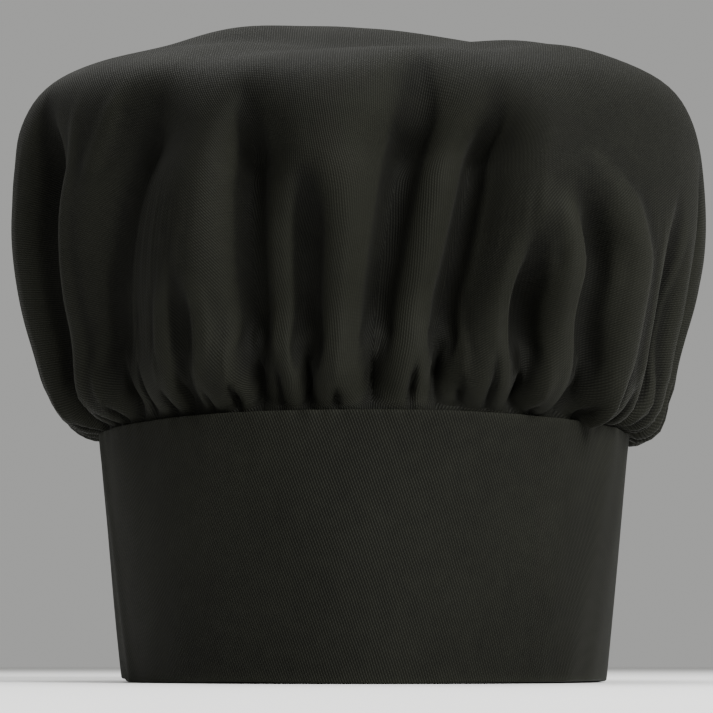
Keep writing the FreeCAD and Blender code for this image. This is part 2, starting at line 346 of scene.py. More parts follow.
def satin(name, dark, light):
    """Woven satin ribbon: long floats across, with a firmer edge on both sides."""
    ribbon = Finish(name, 0.42, 0.45, 0.1)
    place, x, y = ribbon.flat()
    wobble = ribbon.times(ribbon.noise(place, 1 * MM), 0.3 * MM)
    float_line = ribbon.wave(ribbon.add(y, wobble), 0.28 * MM)
    edge = ribbon.math("GREATER_THAN", ribbon.math("ABSOLUTE", x), 0.44 * LABEL_WIDTH)
    ridge = ribbon.times(edge, ribbon.wave(x, 0.5 * MM))
    weave = ribbon.add(ribbon.times(float_line, 0.25), ribbon.times(ridge, 0.25), 0.5)
    patches = ribbon.noise(place, 10 * MM)
    return ribbon.surface(weave, patches, dark, light, (0.1, 0.9), (0.55, 0.32), 0.05 * MM, (0.5, 0.5))


def moulded_nylon(name, dark, light):
    """The stiff monofilament of the hooks."""
    nylon = Finish(name, 0.35, 0.5)
    streak = nylon.noise(nylon.attribute("flat").outputs["Vector"], 0.6 * MM, 3)
    nylon.colour(streak, dark, light, 0.2, 0.8)
    nylon.gloss(streak, 0.5, 0.28)
    nylon.bump(streak, 0.02 * MM)
    return nylon.material


def painted_floor(name):
    floor = Finish(name, 0.9)
    place = floor.nodes.new("ShaderNodeNewGeometry").outputs["Position"]
    floor.colour(floor.noise(place, 0.2), (0.80, 0.80, 0.79), (0.86, 0.86, 0.85))
    return floor.material


# ---------------------------------------------------------------- crown

# The twill's yarns in shade and in light, and how many degrees its ribs lean from the weft
CROWN_DARK, CROWN_LIGHT = (0.0010, 0.0010, 0.0006), (0.0098, 0.0103, 0.0069)
BAND_DARK, BAND_LIGHT = (0.0010, 0.0010, 0.0006), (0.0132, 0.0139, 0.0093)
CROWN_LEAN, BAND_LEAN = 88.0, 70.0

# The bag's half section from the seam to the middle of the top: share of the half width, and height in mm
SECTION = [
    (0.735, 91.0), (0.775, 93.0), (0.845, 99.0), (0.905, 111.0), (0.965, 134.0), (1.000, 163.0),
    (0.992, 190.0), (0.965, 208.0), (0.905, 220.5), (0.776, 230.0), (0.580, 237.0), (0.300, 243.0),
    (0.000, 245.0),
]  # fmt: skip
# Which point of the section is the widest, and how many short lines round off each stretch between its points
WIDEST = 5
ROUNDING = 40
# How far the top sinks at the front and stands up at the back, and the overhang at the left and at the right
FRONT_DROP = 17 * MM
BACK_LIFT = 3 * MM
SIDE_DROOP = (2 * MM, 6.5 * MM)
# The cloth's grid, and the small flat eye in the middle of the top, which has no rings
COLUMNS, ROWS = 800, 84
FLAT_EYE = 10 * MM
# How the cloth settles: rounds, rows held at the seam, how far each ring's cloth is shared out evenly, the
# step outwards from the pressure, the pull back to the drawn shape, the resistance to stretching, to shearing
# and to folding, and the spare length near the seam and higher up
RELAX_STEPS = 140
HELD_ROWS = 2
EVENNESS = 0.12
PRESSURE_STEP = 0.01 * MM
HOLD = 0.015
STRETCH, SHEAR, BEND = 0.9, 0.35, 0.3
LOW_SLACK, HIGH_SLACK = 0.1, 0.04

# The broad valleys between the folds: angle at the seam, angle at the head, height of the head in mm, half
# width on the left and on the right in mm, depth in mm, length of the fading end in mm, and how sharp the
# bottom is, from 0 to 1. Settling makes them shallower, so they are drawn deeper at first
DEEPEN = 1.8
VALLEYS = [
    (-104, -99, 206, 6.0, 6.0, 8.0, 40, 0.7),
    (-89, -83, 204, 4.5, 5.5, 6.5, 30, 0.8),
    (-74, -64, 218, 4.5, 13.0, 10.0, 40, 0.7),
    (-53, -33, 222, 9.0, 19.0, 8.5, 46, 0.2),
    (-21, -18, 216, 7.0, 12.0, 10.5, 45, 0.25),
    (-11, -9, 176, 4.5, 6.0, 7.0, 36, 0.4),
    (1.5, 9.5, 230, 8.0, 10.5, 13.5, 65, 0.5),
    (14.5, 21, 215, 7.5, 13.5, 12.5, 40, 0.25),
    (31, 27.5, 152, 5.5, 5.5, 8.0, 34, 0.4),
    (64, 58, 172, 4.5, 4.5, 6.5, 40, 0.6),
    (79, 74, 196, 6.0, 6.0, 8.0, 60, 0.5),
    (92, 89, 158, 4.5, 4.5, 7.0, 30, 0.7),
    (104, 99, 212, 7.0, 12.0, 11.0, 60, 0.3),
    (121, 124, 178, 5.5, 5.5, 8.0, 40, 0.7),
    (135, 130, 218, 7.5, 7.5, 11.0, 60, 0.5),
    (152, 157, 196, 13.0, 8.0, 11.0, 50, 0.3),
    (165, 169, 152, 4.5, 4.5, 7.0, 30, 0.7),
    (177, 185, 220, 7.0, 9.0, 11.0, 60, 0.6),
    (197, 199, 170, 5.0, 5.0, 8.0, 40, 0.7),
    (210, 216, 210, 8.0, 14.0, 12.0, 55, 0.3),
    (229, 230, 216, 6.0, 6.0, 10.0, 60, 0.6),
    (243, 246, 162, 5.0, 5.0, 8.0, 30, 0.6),
]
# Dents and ridges between and across the folds: half width and depth in mm, where a ridge's depth is
# negative, then the angle and the height in mm of each point along its line, whose far end fades out
DENTS = [
    (6.0, 9.0, [(44, 88), (42.5, 108), (40, 124), (39, 143), (36, 157), (28, 163)]),
    (6.0, -5.0, [(50, 92), (48.5, 112), (47.5, 128), (47, 143), (43, 158), (36, 168), (24, 171)]),
    (4.0, -2.5, [(34, 96), (34, 114), (34.5, 128), (35.5, 143), (31.5, 153), (26, 154), (22, 146)]),
    (3.0, -2.0, [(-62, 100), (-58, 140), (-54, 180), (-50, 208)]),
    (3.0, -1.5, [(-48, 178), (-44, 190), (-40, 205)]),
    (3.5, 5.0, [(-35, 92), (-33, 112), (-31, 136)]),
    (3.5, 4.0, [(70, 90), (66, 120), (62, 160)]),
    (8.0, 4.0, [(120, 222), (140, 205), (150, 180)]),
    (7.0, 4.5, [(214, 170), (224, 192), (236, 214)]),
]
# A valley with its head above this height in mm parts the weave in two, and the weave's lengths are evened up
# and down the cloth so many times
TALL_VALLEY = 200
WEAVE_EVENINGS = 12
# The small gathers at the seam: how far apart, how deep, and how far they reach up the cloth
GATHER_PITCH = 8.6 * MM
GATHER_DEPTH = 6.5 * MM
GATHER_REACH = 44.2 * MM


def rounded_section(count):
    """The half section as count points an equal length apart: share of the half width, height and length so
    far. Then the whole length, and the length up to the widest point."""
    knots = np.array(SECTION, float)
    knots[:, 1] *= MM
    beyond_top = knots[-1] + (knots[-1] - knots[-2]) * (1, -1)
    padded = np.vstack([2 * knots[0] - knots[1], knots, beyond_top])
    fine = []
    for i in range(len(knots) - 1):
        before, start, end, after = padded[i : i + 4]
        t = np.linspace(0, 1, ROUNDING, endpoint=False)[:, None]
        leave, arrive = (end - before) / 2, (after - start) / 2
        fine.append(
            (2 * t**3 - 3 * t**2 + 1) * start
            + (t**3 - 2 * t**2 + t) * leave
            + (3 * t**2 - 2 * t**3) * end
            + (t**3 - t**2) * arrive
        )
    fine = np.vstack(fine + [knots[-1:]])
    half_width = (BAG_LEFT + BAG_RIGHT) / 2
    length = running_length(fine[:, 0] * half_width, fine[:, 1])
    at = np.linspace(0, length[-1] - FLAT_EYE, count)
    widest = length[WIDEST * ROUNDING]
    return np.interp(at, length, fine[:, 0]), np.interp(at, length, fine[:, 1]), at, length[-1], widest


def bag_point(angle, share, height, beyond):
    """A point of the bag before it is folded. beyond is how far up the cloth it is past the widest height."""
    turn = np.radians(angle)
    right, front = np.sin(turn), np.cos(turn)
    half_x = np.where(right > 0, BAG_RIGHT, BAG_LEFT) * right**2 + (BAG_LEFT + BAG_RIGHT) / 2 * (1 - right**2)
    half_y = np.where(front > 0, BAG_FRONT, BAG_BACK)
    # below the widest height the bag grows out from the neck, more slowly at the front
    neck_share = SECTION[0][0]
    rise = np.clip((share - neck_share) / (1 - neck_share), 0, 1)
    steep_rise = rise ** (1 + 0.6 * np.clip(front, 0, 1) ** 2)
    x_below = NECK[0] + (half_x - NECK[0]) * steep_rise
    y_below = NECK[1] + (half_y - NECK[1]) * steep_rise
    x = np.where(beyond > 0, half_x * share, x_below) * right
    y = -np.where(beyond > 0, half_y * share, y_below) * front
    # the crest sinks at the front and stands up a little at the back, most of all at its left
    crest = smooth(0, 55 * MM, beyond) * smooth(0, 0.7, share)
    drop = FRONT_DROP * np.clip(front, 0, 1) ** 2 * crest
    lift = BACK_LIFT * np.clip(-front - 0.3 * right, 0, 1) * crest
    # at both sides the cloth hangs over the seam
    overhang = bell(share - 0.815, 0.05) * np.where(beyond > 0, 0, 1)
    droop = overhang * np.where(right > 0, SIDE_DROOP[1], SIDE_DROOP[0]) * np.abs(right) ** 4
    return np.stack([x, y, height - drop + lift - droop + top_lumps(x, y, beyond)], axis=-1)


def top_lumps(x, y, beyond):
    """The slack top isn't a true dome: its back puffs up left of the middle, behind a dip, and it has shallow
    waves."""
    front_edge = y + 52 * MM + 0.12 * x
    puff = bell(x + 40 * MM, 46 * MM)
    rise = 6 * MM * puff * smooth(-14 * MM, 26 * MM, front_edge) - 1.2 * MM
    dip = 2.5 * MM * puff * bell(front_edge, 9 * MM)
    wave = np.sin(2 * math.pi * x / (118 * MM) + 1.1) * np.cos(2 * math.pi * y / (92 * MM) + 0.4)
    small = np.sin(2 * math.pi * (x - 0.6 * y) / (57 * MM) + 2.0) * np.cos(2 * math.pi * y / (71 * MM))
    return (rise - dip + 1.7 * MM * wave + 0.9 * MM * small) * smooth(35 * MM, 90 * MM, beyond)


def dent_depth(angle, height, radius, half, depth, path):
    """How far a dent along a line of angles and heights presses each point in."""
    line = np.array(path, float)
    x, z = np.radians(line[:, 0]) * radius, line[:, 1] * MM
    here = np.radians(near_turn(angle - line[0, 0]) + line[0, 0]) * radius
    pressed = np.zeros(len(angle))
    for k in range(len(line) - 1):
        run, rise = x[k + 1] - x[k], z[k + 1] - z[k]
        t = np.clip(((here - x[k]) * run + (height - z[k]) * rise) / (run**2 + rise**2), 0, 1)
        gap = np.hypot(here - x[k] - t * run, height - z[k] - t * rise)
        fade = 1 - smooth(0.6, 1.0, (k + t) / (len(line) - 1))
        pressed = np.maximum(pressed, bell(gap, half * MM) * fade)
    return pressed * depth * MM


def valley_angles(feet, heads, reach, foot_angles, length):
    """Where the cloth line that starts at each foot angle has moved to at a length up the bag."""
    moved = (heads - feet) * smooth(0, 1, length / reach) * (1 - 0.8 * smooth(0, 70 * MM, length - reach))
    return foot_angles + np.interp(foot_angles, feet, moved, period=360)


def gather_angles(feet):
    """The valleys of the small gathers at the seam: one at each broad valley's foot, and others between them,
    almost evenly spaced."""
    rng = np.random.default_rng(7)
    around = np.sort(np.mod(feet, 360))
    girth = math.pi * (NECK[0] + NECK[1])
    angles = []
    for start, end in zip(around, np.append(around[1:], around[0] + 360)):
        count = max(1, round((end - start) / 360 * girth / GATHER_PITCH))
        stray = rng.uniform(-0.22, 0.22, count) * (np.arange(count) > 0)
        angles.extend(start + (end - start) * (np.arange(count) + stray) / count)
    return np.array(angles)


def pleat(gap, half, soft):
    """1 at the bottom of a pleat, falling away over the half width. soft rounds its bottom off."""
    return np.exp(soft - np.sqrt((gap / half) ** 2 + soft**2))


def valley_push(folds, reach, foot_angles, length, radius):
    """How far the broad valleys press the points of one ring in. They are narrow and shallow at the seam."""
    open_depth = 0.45 + 0.55 * smooth(0, 40 * MM, length)
    open_width = 0.45 + 0.55 * smooth(0, 45 * MM, length)
    push = np.zeros(COLUMNS)
    for fold, top in zip(folds, reach):
        foot, _, _, left_half, right_half, deep, fading, sharp = fold
        gap = np.radians(near_turn(foot_angles - foot)) * radius
        remains = (top - length) / (fading * MM)
        half = np.where(gap < 0, left_half, right_half) * MM
        half = half * open_width * (0.75 + 0.25 * np.clip(remains, 0, 1))
        across = pleat(gap, half, 1.0 - 0.85 * sharp)
        push += DEEPEN * deep * MM * open_depth * smooth(0, 1, remains) * across
    return push


def gather_push(small, tall, small_reach, foot_angles, length, radius):
    """How far the small gathers press the points of one ring in, between ribs that stand a little proud."""
    gap = np.radians(near_turn(foot_angles[:, None] - small[None, :])) * radius
    near = pleat(gap, 0.15 * GATHER_PITCH, 0.3)
    fade = 1 - smooth(0.15, 1.0, length / small_reach)
    proud = 0.28 * (1 - smooth(0, 50 * MM, length))
    return ((near * (fade * tall)[None, :]).sum(axis=1) - proud) * GATHER_DEPTH


def crown_points():
    """The folded crown as a grid, row by row from the seam up, each row's length up the cloth, and the radius
    of the flat disc."""
    share, height, length, flat_radius, widest = rounded_section(ROWS)
    beyond = length - widest
    folds = np.array(VALLEYS, float)
    folds[:, :2] = np.mod(folds[:, :2], 360)
    folds = folds[np.argsort(folds[:, 0])]
    feet = folds[:, 0]
    heads = feet + near_turn(folds[:, 1] - feet)
    reach = np.interp(folds[:, 2] * MM, height, length)
    foot_angles = np.arange(COLUMNS) * 360 / COLUMNS
    small = gather_angles(feet)
    rng = np.random.default_rng(11)
    tall = rng.uniform(0.55, 1.25, len(small))
    small_reach = GATHER_REACH * rng.uniform(0.4, 1.0, len(small)) ** 1.5
    rows = []
    for i in range(ROWS):
        angle = valley_angles(feet, heads, reach, foot_angles, length[i])
        here = bag_point(angle, share[i], height[i], beyond[i])
        around = np.roll(here, -1, axis=0) - np.roll(here, 1, axis=0)
        k = min(max(i, 1), ROWS - 2)
        above, below = (bag_point(angle, share[j], height[j], beyond[j]) for j in (k + 1, k - 1))
        outward = unit(np.cross(around, above - below))
        radius = np.hypot(here[:, 0], here[:, 1]).mean()
        push = valley_push(folds, reach, foot_angles, length[i], radius)
        push += gather_push(small, tall, small_reach, foot_angles, length[i], radius)
        for half, depth, path in DENTS:
            push += dent_depth(angle, here[:, 2], radius, half, depth, path)
        room = 0.25 + 0.75 * smooth(0, 7 * MM, length[i])
        rows.append(here - outward * (push * room)[:, None])
    return np.array(rows), length, flat_radius


def pull(first, second, rest, stiff, free_first, free_second, only_push=False):
    """Moves pairs of points towards their rest distance, in place. With only_push they never draw closer."""
    gap = second - first
    size = np.sqrt((gap * gap).sum(axis=-1)) + 1e-12
    error = (size - rest) / size
    if only_push:
        error = np.minimum(error, 0)
    share = stiff / np.maximum(free_first + free_second, 1e-6)
    step = gap * (error * share)[..., None]
    first += step * free_first[..., None]
    second -= step * free_second[..., None]


def pull_along_rows(x, free, rest, stride, stiff, only_push=False):
    """Pairs a stride apart round each ring, in turns that share no point. rest has a length for each pair."""
    rows, columns = x.shape[:2]
    for start in range(0, 2 * stride, stride):
        turned = np.roll(x, -start, axis=1).reshape(rows, -1, 2, stride, 3)
        loose = np.roll(free, -start, axis=1).reshape(rows, -1, 2, stride)
        aim = np.roll(rest, -start, axis=1).reshape(rows, -1, 2, stride)[:, :, 0]
        pull(turned[:, :, 0], turned[:, :, 1], aim, stiff, loose[:, :, 0], loose[:, :, 1], only_push)
        x[:] = np.roll(turned.reshape(rows, columns, 3), start, axis=1)


def pull_up(x, free, rest, stride, lean, stiff, only_push=False):
    """Pairs a stride apart up the cloth, leaning by a number of columns, in turns that share no point."""
    rows = x.shape[0]
    for start in range(2 * stride):
        low = np.arange(start, rows - stride, 2 * stride)
        first, second = x[low], np.roll(x[low + stride], -lean, axis=1)
        loose_first, loose_second = free[low], np.roll(free[low + stride], -lean, axis=1)
        pull(first, second, rest[low], stiff, loose_first, loose_second, only_push)
        x[low] = first
        x[low + stride] = np.roll(second, lean, axis=1)


def sum_ahead(values, count):
    """The sum of each value and the next ones round its ring, count in all."""
    return sum(np.roll(values, -k, axis=1) for k in range(count))


def distance(first, second):
    return np.linalg.norm(second - first, axis=-1)


def mean_beside(values, reach):
    """The mean of each value and its neighbours round the ring, up to reach columns away on both sides."""
    return sum(np.roll(values, k, axis=1) for k in range(-reach, reach + 1)) / (2 * reach + 1)


def relax(points, even_hoop, evenness, soft_rows):
    """Lets the folded cloth settle towards its lengths on the flat disc, with the seam held. evenness says
    how far each ring's cloth is shared out evenly, where the rest keeps the lengths that were drawn.
    soft_rows says how stiffly each ring resists folding: 0 near the seam, where the small gathers are, and 1
    above them."""
    x = points.copy()
    free = np.ones(x.shape[:2])
    free[:HELD_ROWS] = 0
    even = np.broadcast_to(evenness[:, None], free.shape)
    even_up = even[1:]
    drawn = distance(points, np.roll(points, -1, axis=1))
    hoop = even * even_hoop + (1 - even) * drawn
    drawn_up = distance(points[:-1], points[1:])
    climb = even_up * mean_beside(drawn_up, 12) + (1 - even_up) * drawn_up
    lean_rest = []
    for lean in (1, -1):
        square = np.hypot(0.5 * (hoop[:-1] + hoop[1:]), climb)
        slant = distance(points[:-1], np.roll(points[1:], -lean, axis=1))
        lean_rest.append((lean, even_up * square + (1 - even_up) * slant))
    climb_two = climb[:-1] + climb[1:]
    climb_four = climb_two[:-2] + climb_two[2:]
    for _ in range(RELAX_STEPS):
        around = np.roll(x, -1, axis=1) - np.roll(x, 1, axis=1)
        outward = unit(np.cross(around, np.gradient(x, axis=0)))
        x += (outward * PRESSURE_STEP + (points - x) * HOLD) * free[..., None]
        pull_along_rows(x, free, hoop, 1, STRETCH)
        pull_up(x, free, climb, 1, 0, STRETCH)
        for lean, rest in lean_rest:
            pull_up(x, free, rest, 1, lean, SHEAR)
        pull_along_rows(x, free, sum_ahead(hoop, 8) * 0.97 * soft_rows, 8, 0.5 * BEND, True)
        pull_along_rows(x, free, sum_ahead(hoop, 4) * soft_rows, 4, BEND, True)
        pull_along_rows(x, free, sum_ahead(hoop, 2) * (0.9 + 0.1 * soft_rows), 2, BEND, True)
        pull_up(x, free, climb_four, 4, 0, BEND, True)
        pull_up(x, free, climb_two, 2, 0, BEND, True)
    return x


def ridge_wear_and_valley_shade(points):
    """How far each point stands out from the cloth beside it: 1 on sharp ridges, which come out paler as
    wear, and below 0 in valleys, which come out darker as painted shade.
    """
    around = np.roll(points, -1, axis=1) - np.roll(points, 1, axis=1)
    outward = unit(np.cross(around, np.gradient(points, axis=0)))
    proud = ((points - mean_beside(points, 7)) * outward).sum(axis=-1)
    # the values below 0 paint shade into the valleys
    return np.clip(proud / (0.8 * MM), -0.4, 1)


def allowance_rows(seam_row, depths):
    """The crown's edge below the seam, pleated as the gathers are, between the band and the binding."""
    angle = np.degrees(np.arctan2(seam_row[:, 0] / NECK[0], -seam_row[:, 1] / NECK[1]))
    neck = wall(angle, np.full(COLUMNS, BAND_HEIGHT), NECK_OUT)
    proud = np.linalg.norm(seam_row[:, :2], axis=1) - np.linalg.norm(neck[:, :2], axis=1)
    offset = NECK_OUT - 0.4 * MM + np.clip(proud, -1 * MM, 0.3 * MM)
    return np.array([wall(angle, np.full(COLUMNS, BAND_HEIGHT + 1 * MM - depth), offset) for depth in depths])


def weave_places(points, length, flat_radius):
    """Each point's place on the flat disc, for the weave: as the face on its right sees it, and as the one on
    its left does. Between two tall valleys the cloth is laid out at its true scale from the middle of the
    stretch. What the gathers hide is lost at the bottoms of the valleys. Near the top the stretches meet."""
    tall = sorted(round(fold[0] % 360 / 360 * COLUMNS) for fold in VALLEYS if fold[2] > TALL_VALLEY)
    tall.append(tall[0] + COLUMNS)
    steps = distance(points, np.roll(points, -1, axis=1))
    arcs = np.hstack([np.zeros((ROWS, 1)), np.cumsum(np.hstack([steps, steps]), axis=1)])
    for _ in range(WEAVE_EVENINGS):
        arcs[1:-1] = (arcs[:-2] + 2 * arcs[1:-1] + arcs[2:]) / 4
    azimuth = np.unwrap(np.arctan2(points[..., 0], -points[..., 1]), axis=1)
    azimuth = np.hstack([azimuth, azimuth + 2 * math.pi])
    radius = (flat_radius - length)[:, None]
    meet = smooth(85 * MM, 112 * MM, length)[:, None]
    drift = smooth(0, 100 * MM, length)[:, None]
    right_turn, left_turn = np.zeros((ROWS, COLUMNS)), np.zeros((ROWS, COLUMNS))
    for start, end in zip(tall, tall[1:]):
        middle = (start + end) // 2
        columns = np.arange(start, end + 1)
        seen = azimuth[:, columns] - azimuth[:, middle : middle + 1]
        laid = (arcs[:, columns] - arcs[:, middle : middle + 1]) / radius
        edge = np.where(columns < middle, seen[:, :1] / laid[:, :1], seen[:, -1:] / laid[:, -1:])
        straight = middle * 2 * math.pi / COLUMNS
        aim = straight + (azimuth[:, middle : middle + 1] - straight) * drift
        turn = aim + laid * (1 + (edge - 1) * meet)
        right_turn[:, columns[:-1] % COLUMNS] = turn[:, :-1]
        left_turn[:, columns[1:] % COLUMNS] = turn[:, 1:]
    return [
        np.stack([np.sin(turn), -np.cos(turn), np.zeros_like(turn)], axis=-1) * radius[..., None]
        for turn in (right_turn, left_turn)
    ]


def crown_cloth():
    """The crown's mesh, with the weave's places, the ridge wear and the painted shade in its valleys, and the
    radius of the disc it is cut from.
    """
    points, length, flat_radius = crown_points()
    drawn = distance(points, np.roll(points, -1, axis=1)).mean(axis=1)
    cut = 2 * math.pi * (flat_radius - length) / COLUMNS
    low_slack = LOW_SLACK * (1 - smooth(10 * MM, 60 * MM, length)) * smooth(0, 15 * MM, length)
    high_slack = HIGH_SLACK * (1 - smooth(80 * MM, 150 * MM, length))
    hoop = np.minimum(cut, (1 + low_slack + high_slack) * drawn)[:, None]
    evenness = EVENNESS * smooth(6 * MM, 40 * MM, length) * (1 - smooth(65 * MM, 115 * MM, length))
    points = relax(points, hoop, evenness, smooth(6 * MM, 30 * MM, length)[:, None])
    depths = np.array([ALLOWANCE, 7 * MM, 4.5 * MM, 2 * MM])
    right, left = [
        np.concatenate([side[0] * (1 + depths / flat_radius)[:, None, None], side])
        for side in weave_places(points, length, flat_radius)
    ]
    # ridge wear and painted valley shade; none on the allowance below the seam
    wear_and_painted_light = np.concatenate([np.zeros((len(depths), COLUMNS)), ridge_wear_and_valley_shade(points)])
    points = np.concatenate([allowance_rows(points[0], depths), points])
    rows = len(points)
    top = points[-1].mean(axis=0) + (0, 0, 0.3 * MM)
    faces = [tuple(f) for f in grid_faces(rows, COLUMNS, True)]
    last = (rows - 1) * COLUMNS
    centre = rows * COLUMNS
    faces += [(last + i, last + (i + 1) % COLUMNS, centre) for i in range(COLUMNS)]
    piece = mesh_piece("crown_cloth", np.vstack([points.reshape(-1, 3), top]), faces)
    beside = np.roll(left, -1, axis=1)
    corners = np.stack([right[:-1], beside[:-1], beside[1:], right[1:]], axis=2).reshape(-1, 3)
    top_corners = np.stack([right[-1], beside[-1], np.zeros((COLUMNS, 3))], axis=1).reshape(-1, 3)
    set_attribute(piece, "flat", np.vstack([corners, top_corners]), "CORNER")
    set_attribute(piece, "wear_and_painted_light", np.append(wear_and_painted_light.ravel(), 0))
    return piece, flat_radius + depths[0]


# ---------------------------------------------------------------- head band


def wall(angle, height, offset):
    """Points on the band's oval wall, an offset outwards from its outer face."""
    share = height / BAND_HEIGHT
    half_x = HEM_HALF[0] + (TOP_HALF[0] - HEM_HALF[0]) * share + offset
    half_y = HEM_HALF[1] + (TOP_HALF[1] - HEM_HALF[1]) * share + offset
    turn = np.radians(angle)
    x, y, z = np.broadcast_arrays(half_x * np.sin(turn), -half_y * np.cos(turn), height)
    return np.stack([x, y, z], axis=-1)


def outward_at(angle, height):
    """The direction that the wall faces."""
    half_x = wall(90.0, height, 0.0)[0]
    half_y = -wall(0.0, height, 0.0)[1]
    turn = math.radians(angle)
    return Vector((math.sin(turn) / half_x, -math.cos(turn) / half_y, 0)).normalized()


def lap_lift(angle):
    """The strip climbs over its own end just before the hinge line."""
    return LAP_LIFT * smooth(HINGE - RAMP, HINGE, angle)


def band_degrees(length):
    return math.degrees(length / HEM_HALF[1])


def arc(offset, height, radius, start, end, count):
    """Points of an arc in the strip's cut, with angles from the outward direction."""
    turns = np.radians(np.linspace(start, end, count))
    return [(offset + radius * math.cos(t), height + radius * math.sin(t)) for t in turns]


def folded_outline():
    """The strip's cut as one line of cloth: from the raw edge turned in behind the outer face, over the top,
    down the outer face, round the hem and up the inner face to the other raw edge. Offsets and heights."""
    turning, edge = 6 * MM, 0.3 * MM
    hem = BAND_THICK / 2
    high = BAND_HEIGHT - edge
    line = [(-2 * edge, BAND_HEIGHT - turning)]
    line += arc(-edge, high, edge, 180, 0, 6)
    line += [(0, z) for z in np.linspace(high, hem, 64)[1:-1]]
    line += arc(-hem, hem, hem, 0, -180, 11)
    line += [(-BAND_THICK, z) for z in np.linspace(hem, high, 48)[1:-1]]
    line += arc(-BAND_THICK + edge, high, edge, 180, 0, 6)
    line.append((-BAND_THICK + 2 * edge, BAND_HEIGHT - turning))
    return np.array(line).T


def ripples(angle, seed, count, slowest, fastest):
    """A sum of waves round the hat, between -1 and 1 or so."""
    rng = np.random.default_rng(seed)
    total = 0
    for _ in range(count):
        total = total + np.sin(np.radians(angle * rng.integers(slowest, fastest) + rng.uniform(0, 360)))
    return total / count**0.5 / 1.2


def away_from_lap(angle):
    """1 round the front and the sides, and 0 where the strip laps."""
    return 1 - smooth(104, 118, np.abs(angle))


def band_unevenness(angle, height):
    """How far the stiffened cloth stands off its oval: slow waves, a soft turn left of the front, an upright
    crease at the left, and small puckers under the seam. It fades out towards the lap, where the tapes need a
    true wall."""
    share = height / BAND_HEIGHT
    waves = 0.45 * MM * ripples(angle + 25 * share, 3, 5, 2, 11) * (0.4 + 0.6 * share)
    buckles = 0.16 * MM * ripples(angle - 14 * share, 5, 6, 14, 40) * (0.3 + 0.7 * np.abs(2 * share - 1))
    line = -76 + 9 * (1 - share)
    crease = 0.75 * MM * bell(angle - line, 2.6) - 0.5 * MM * bell(angle - line + 7, 4.5)
    turn = 1.2 * MM * bell(angle + 38, 10) * (0.4 + 0.6 * share)
    puckers = 0.3 * MM * ripples(angle, 9, 6, 48, 96) * np.exp(-(BAND_HEIGHT - height) / (3.5 * MM))
    return (waves + buckles + turn + crease + puckers) * away_from_lap(angle)


def hem_height(angle):
    """How far the hem is off the plane it rests on: it waves a little, steps up at the left, and the tab's is
    cut shorter."""
    wave = 0.3 * MM * (1 + ripples(angle, 21, 4, 2, 9))
    step = 1.1 * MM * smooth(-72, -78, angle)
    tab_lift = TAB_HEM_LIFT * smooth(PIECE_SPLIT, HINGE - 4, angle)
    return np.maximum((wave + step) * away_from_lap(angle), 0) + tab_lift


def strip_cloth(name, start, end, closed_start, closed_end, pitch):
    """A stretch of the folded strip, between two angles. A closed end has its two plies drawn together."""
    length = math.radians(end - start) * HEM_HALF[1]
    angles = np.linspace(start, end, int(length / pitch))
    nearby = band_degrees(1 * MM) * np.array([0.1, 0.3, 0.6, 1.0])
    if closed_start:
        angles = np.concatenate([angles[:1], start + nearby, angles[1:]])
    if closed_end:
        angles = np.concatenate([angles[:-1], end - nearby[::-1], angles[-1:]])
    offset, height = folded_outline()
    middle = -BAND_THICK / 2
    fullness = np.ones(len(angles))
    for closed, edge in ((closed_start, start), (closed_end, end)):
        if closed:
            inside = np.radians(np.abs(angles - edge)) * HEM_HALF[1]
            fullness *= np.sqrt(1 - (1 - np.clip(inside / -middle, 0, 1)) ** 2) * 0.97 + 0.03
    angle = angles[None, :]
    low = hem_height(angle)
    z = low + height[:, None] * (BAND_HEIGHT - low) / BAND_HEIGHT
    out = middle + (offset[:, None] - middle) * fullness[None, :]
    out = out + lap_lift(angle) + band_unevenness(angle, z)
    points = wall(angle, z, out)
    rows = len(offset)
    piece = mesh_piece(name, points.reshape(-1, 3), grid_faces(rows, len(angles), False))
    across = running_length(offset, height)
    set_flat(piece, np.radians(angle) * HEM_HALF[1], across[:, None])
    hem_wear = np.exp(-np.abs(height[:, None] - BAND_THICK / 2) / (1.3 * MM))
    top_wear = np.exp(-np.abs(BAND_HEIGHT - height[:, None]) / (0.8 * MM))
    # a painted highlight down the upright crease, on the outer ply only
    painted_crease_highlight = bell(angle + 72, 4) * (offset[:, None] > middle)
    # the hem and the top edge are paler with wear, and the crease with the painted highlight
    wear_and_painted_light = np.clip(0.55 * hem_wear + 0.4 * top_wear + 0.3 * painted_crease_highlight, 0, 1)
    set_attribute(piece, "wear_and_painted_light", np.broadcast_to(wear_and_painted_light, (rows, len(angles))).ravel())
    return piece, (length, across[-1])


def tape_solid(name, start, end, outline, pitch, closed=False, lift=lambda angle, height: 0.0):
    """A tape that follows the band's wall between two angles, or all round it. outline lists the offsets and
    heights of its cut, and lift adds to the offsets."""
    length = math.radians(end - start) * HEM_HALF[1]
    columns = int(length / pitch)
    angles = np.linspace(start, end, columns, endpoint=not closed)[:, None]
    offset, height = np.array(outline).T[:, None, :]
    rows = len(outline)
    points = wall(angles, height, offset + lift(angles, height))
    faces = []
    for i in range(columns if closed else columns - 1):
        here, beside = i * rows, (i + 1) % columns * rows
        faces += [(here + k, beside + k, beside + (k + 1) % rows, here + (k + 1) % rows) for k in range(rows)]
    if not closed:
        faces.append(tuple(range(rows)))
        faces.append(tuple((columns - 1) * rows + k for k in range(rows))[::-1])
    piece = mesh_piece(name, points.reshape(-1, 3), faces)
    set_flat(piece, np.radians(angles) * HEM_HALF[1], running_length(offset[0], height[0]))
    return piece


